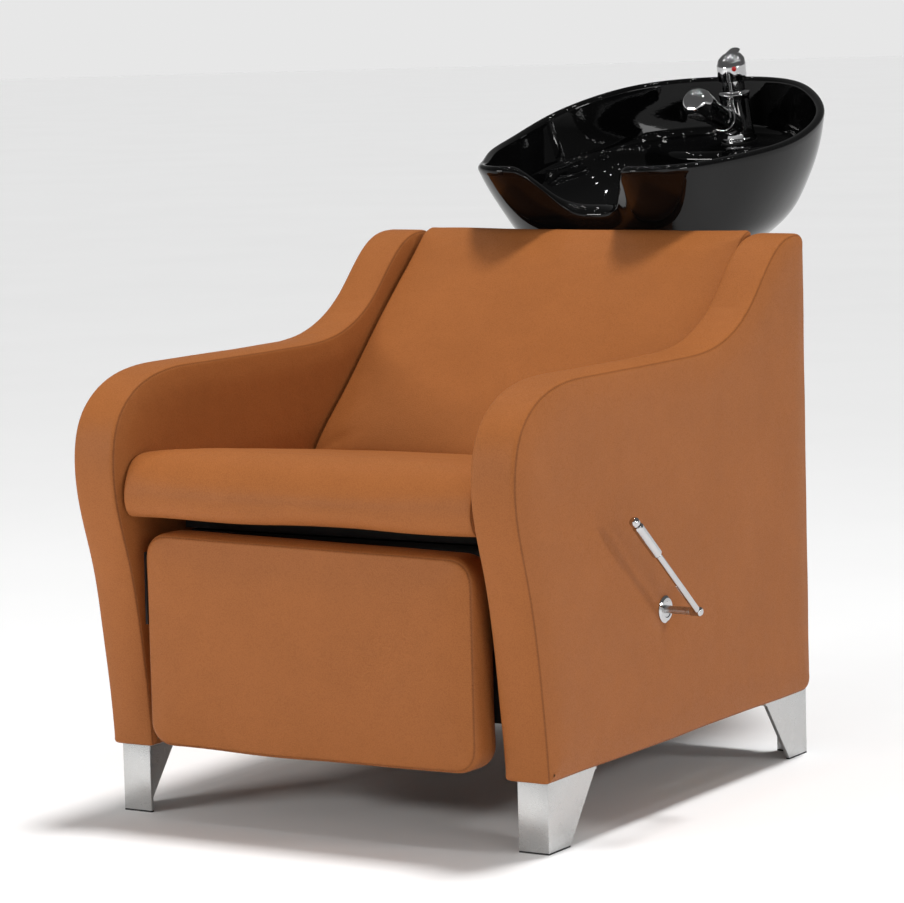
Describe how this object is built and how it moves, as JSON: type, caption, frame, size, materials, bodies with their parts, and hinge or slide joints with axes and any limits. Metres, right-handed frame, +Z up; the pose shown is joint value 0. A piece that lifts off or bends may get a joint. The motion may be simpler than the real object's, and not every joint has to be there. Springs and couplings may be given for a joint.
{
  "type": "salon backwash unit",
  "caption": "Upholstered salon backwash armchair with a lever-driven swing-up legrest and a tilting black ceramic wash bowl with mixer tap and hand spray.",
  "frame": {"origin": "bottom centre of the whole unit's box, on the floor, with the legrest down", "axes": "+Z up, +Y towards the wash bowl at the rear, +X towards the hand lever's side"},
  "size_m": [0.7046, 1.21, 0.9435],
  "materials": {
    "leatherette": "satin pebbled leatherette, tan",
    "plywood": "bare birch plywood",
    "plywood_black": "black stained plywood",
    "steel_black": "black powder coat",
    "chrome": "polished chrome plate",
    "brushed_steel": "satin brushed stainless steel",
    "black_ceramic": "gloss black glaze",
    "rubber_black": "matt black rubber",
    "brass": "bare brass",
    "plastic_white": "white acetal",
    "plastic_grey": "grey polypropylene",
    "plastic_black": "black plastic",
    "indicator_red": "red gloss plastic"
  },
  "bodies": {
    "chair": {"right_side_upholstery": "leatherette", "left_side_upholstery": "leatherette", "right_side_core": "plywood", "left_side_core": "plywood", "front_cross_rail": "plywood_black", "middle_cross_rail": "plywood_black", "rear_cross_rail": "plywood_black", "bowl_mount_board": "plywood", "seat_cushion": "leatherette", "seat_board": "plywood_black", "back_cushion": "leatherette", "back_board": "plywood", "rear_cover": "leatherette", "right_pivot_plate": "steel_black", "left_pivot_plate": "steel_black", "legrest_stops": "rubber_black", "right_shaft_bearing": "plastic_white", "left_shaft_bearing": "plastic_white", "lever_escutcheon": "chrome", "right_front_foot": "brushed_steel", "left_front_foot": "brushed_steel", "right_rear_foot": "brushed_steel", "left_rear_foot": "brushed_steel", "foot_glides": "rubber_black", "bowl_bracket": "steel_black", "bracket_fasteners": "brushed_steel", "tilt_pin": "brushed_steel", "friction_washers": "plastic_white"},
    "legrest": {"legrest_pad": "leatherette", "legrest_board": "plywood_black", "right_legrest_arm": "steel_black", "left_legrest_arm": "steel_black", "legrest_bushes": "plastic_white"},
    "lever": {"drive_shaft": "brushed_steel", "right_drive_crank": "steel_black", "left_drive_crank": "steel_black", "lever_hub": "chrome", "lever_rod": "chrome", "lever_grip": "chrome", "lever_knob": "chrome"},
    "right_link": {"right_link": "steel_black"},
    "left_link": {"left_link": "steel_black"},
    "bowl": {"wash_bowl": "black_ceramic", "waste_flange": "chrome", "tail_pipe": "plastic_grey", "tap_body": "chrome", "tap_cartridge": "plastic_white", "bowl_seals": "rubber_black", "lock_nuts": "brass", "supply_tails": "brushed_steel", "bowl_cradle": "steel_black", "cradle_pad": "rubber_black", "cradle_studs": "brushed_steel"},
    "strainer": {"strainer": "chrome"},
    "tap_stem": {"tap_stem": "brushed_steel"},
    "tap_handle": {"tap_handle": "chrome", "tap_indicator": "indicator_red"},
    "hand_spray": {"hand_spray": "chrome", "spray_nozzle": "plastic_black"}
  },
  "joints": [
    {"name": "legrest_swing", "type": "hinge", "parent": "chair", "child": "legrest", "pos_m": [-0.02725, -0.53, 0.312], "axis": [-1, 0, 0], "range_deg": [0, 80]},
    {"name": "lever_turn", "type": "hinge", "parent": "chair", "child": "lever", "pos_m": [-0.02725, -0.246, 0.258], "axis": [-1, 0, 0], "range_deg": [0, 80]},
    {"name": "right_link_pivot", "type": "hinge", "parent": "lever", "child": "right_link", "pos_m": [0.21475, -0.201, 0.218], "axis": [-1, 0, 0], "range_deg": [-80, 0]},
    {"name": "left_link_pivot", "type": "hinge", "parent": "lever", "child": "left_link", "pos_m": [-0.26925, -0.201, 0.218], "axis": [-1, 0, 0], "range_deg": [-80, 0]},
    {"name": "bowl_tilt", "type": "hinge", "parent": "chair", "child": "bowl", "pos_m": [-0.02725, 0.31, 0.6], "axis": [-1, 0, 0], "range_deg": [0, 12]},
    {"name": "strainer_lift", "type": "slide", "parent": "bowl", "child": "strainer", "axis": [0, -0.2011, 0.9796], "range_m": [0, 0.03]},
    {"name": "tap_turn", "type": "hinge", "parent": "bowl", "child": "tap_stem", "pos_m": [0.00275, 0.53392, 0.88972], "axis": [0, -0.2011, 0.9796], "range_deg": [-45, 45]},
    {"name": "tap_lift", "type": "hinge", "parent": "tap_stem", "child": "tap_handle", "pos_m": [0.00275, 0.53231, 0.89755], "axis": [1, 0, 0], "range_deg": [0, 15]},
    {"name": "spray_pull", "type": "slide", "parent": "bowl", "child": "hand_spray", "axis": [0, -0.9542, 0.299], "range_m": [0, 0.08]}
  ],
  "couplings": [
    {"joint": "lever_turn", "follows": "legrest_swing", "ratio": 1},
    {"joint": "right_link_pivot", "follows": "legrest_swing", "ratio": -1},
    {"joint": "left_link_pivot", "follows": "legrest_swing", "ratio": -1}
  ]
}
